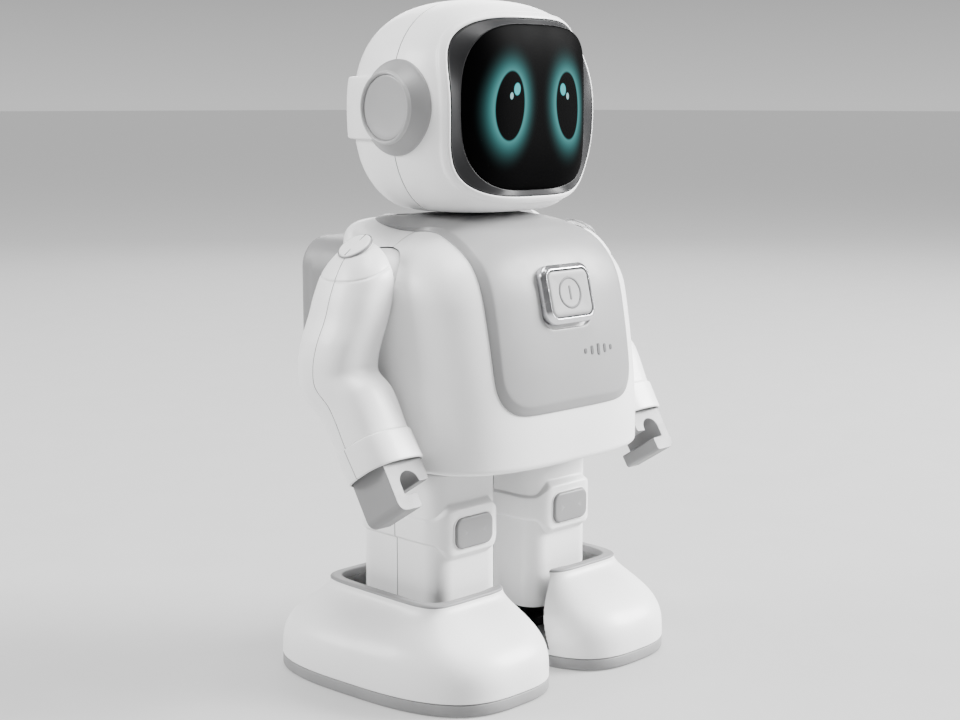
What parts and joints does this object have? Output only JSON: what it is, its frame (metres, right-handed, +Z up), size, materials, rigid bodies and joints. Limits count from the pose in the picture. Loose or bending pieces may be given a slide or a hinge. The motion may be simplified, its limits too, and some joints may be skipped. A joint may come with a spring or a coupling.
{
  "type": "humanoid robot",
  "caption": "Walking toy humanoid with a visored round head, chest button, backpack, swinging arms with C-shaped hands, and legs on levelling linkages with big flat feet.",
  "frame": {"origin": "on the floor under the centre of the robot's bounding box", "axes": "+Z up; the robot faces -Y; its left side is +X"},
  "size_m": [0.1268, 0.0854, 0.1991],
  "materials": {
    "white_shell": "satin",
    "grey_plastic": "satin",
    "sole_rubber": "matte",
    "black_plastic": "satin",
    "steel": "satin",
    "bezel_chrome": "polished",
    "visor_gloss": "gloss",
    "board_green": "satin",
    "battery_wrap": "satin",
    "motor_metal": "satin"
  },
  "bodies": {
    "torso": {"torso_front_shell": "white_shell", "torso_back_shell": "white_shell", "hip_frame": "black_plastic", "hip_shafts": "steel", "chest_plate": "grey_plastic", "button_bezel": "bezel_chrome", "button_switch": "black_plastic", "main_board": "board_green", "battery_pack": "battery_wrap", "gear_motor": "motor_metal", "backpack_shell": "grey_plastic", "backpack_cover": "grey_plastic", "speaker_driver": "black_plastic", "back_screws": "steel", "neck_post": "black_plastic", "shoulder_shafts": "steel"},
    "head": {"head_front_shell": "white_shell", "head_back_shell": "white_shell", "head_band": "white_shell", "visor": "visor_gloss", "face_display": "black_plastic", "neck_collar": "black_plastic", "ear_cup_left": "grey_plastic", "ear_cup_right": "grey_plastic", "ear_cap_left": "grey_plastic", "ear_cap_right": "grey_plastic"},
    "button": {"power_button": "grey_plastic"},
    "arm_left": {"arm_front_shell_left": "white_shell", "arm_back_shell_left": "white_shell", "arm_hub_left": "black_plastic", "shoulder_cap_left": "white_shell", "hand_left": "grey_plastic"},
    "leg_left": {"leg_front_shell_left": "white_shell", "leg_back_shell_left": "white_shell", "leg_frame_left": "black_plastic", "knee_pad_left": "grey_plastic"},
    "link_left": {"leveling_link_left": "black_plastic"},
    "foot_left": {"foot_shell_left": "white_shell", "foot_collar_left": "grey_plastic", "sole_left": "sole_rubber", "ankle_bracket_left": "black_plastic", "ankle_pins_left": "steel", "sole_screws_left": "steel"},
    "arm_right": {"arm_front_shell_right": "white_shell", "arm_back_shell_right": "white_shell", "arm_hub_right": "black_plastic", "shoulder_cap_right": "white_shell", "hand_right": "grey_plastic"},
    "leg_right": {"leg_front_shell_right": "white_shell", "leg_back_shell_right": "white_shell", "leg_frame_right": "black_plastic", "knee_pad_right": "grey_plastic"},
    "link_right": {"leveling_link_right": "black_plastic"},
    "foot_right": {"foot_shell_right": "white_shell", "foot_collar_right": "grey_plastic", "sole_right": "sole_rubber", "ankle_bracket_right": "black_plastic", "ankle_pins_right": "steel", "sole_screws_right": "steel"}
  },
  "joints": [
    {"name": "head_turn", "type": "hinge", "parent": "torso", "child": "head", "pos_m": [0, 0.0025, 0.1375], "axis": [0, 0, 1], "range_deg": [-45, 45]},
    {"name": "button_press", "type": "slide", "parent": "torso", "child": "button", "axis": [0, 0.9707, -0.2402], "range_m": [0, 0.0008], "stiffness_N_per_m": 400},
    {"name": "shoulder_left", "type": "hinge", "parent": "torso", "child": "arm_left", "pos_m": [0.042, 0.0015, 0.1195], "axis": [1, 0, 0], "range_deg": [-110, 60]},
    {"name": "shoulder_right", "type": "hinge", "parent": "torso", "child": "arm_right", "pos_m": [-0.042, 0.0015, 0.1195], "axis": [1, 0, 0], "range_deg": [-110, 60]},
    {"name": "hip_left", "type": "hinge", "parent": "torso", "child": "leg_left", "pos_m": [0.0203, 0.0006, 0.084], "axis": [1, 0, 0], "range_deg": [-5, 5]},
    {"name": "link_pivot_left", "type": "hinge", "parent": "torso", "child": "link_left", "pos_m": [0.0235, 0.0106, 0.084], "axis": [1, 0, 0], "range_deg": [-5, 5]},
    {"name": "ankle_left", "type": "hinge", "parent": "leg_left", "child": "foot_left", "pos_m": [0.0203, 0.0006, 0.013], "axis": [1, 0, 0], "range_deg": [-5, 5]},
    {"name": "hip_right", "type": "hinge", "parent": "torso", "child": "leg_right", "pos_m": [-0.0203, 0.0006, 0.084], "axis": [1, 0, 0], "range_deg": [-5, 5]},
    {"name": "link_pivot_right", "type": "hinge", "parent": "torso", "child": "link_right", "pos_m": [-0.0235, 0.0106, 0.084], "axis": [1, 0, 0], "range_deg": [-5, 5]},
    {"name": "ankle_right", "type": "hinge", "parent": "leg_right", "child": "foot_right", "pos_m": [-0.0203, 0.0006, 0.013], "axis": [1, 0, 0], "range_deg": [-5, 5]}
  ],
  "couplings": [
    {"joint": "link_pivot_left", "follows": "hip_left", "ratio": 1},
    {"joint": "ankle_left", "follows": "hip_left", "ratio": -1},
    {"joint": "hip_right", "follows": "hip_left", "ratio": -1},
    {"joint": "link_pivot_right", "follows": "hip_left", "ratio": -1},
    {"joint": "ankle_right", "follows": "hip_left", "ratio": 1}
  ]
}
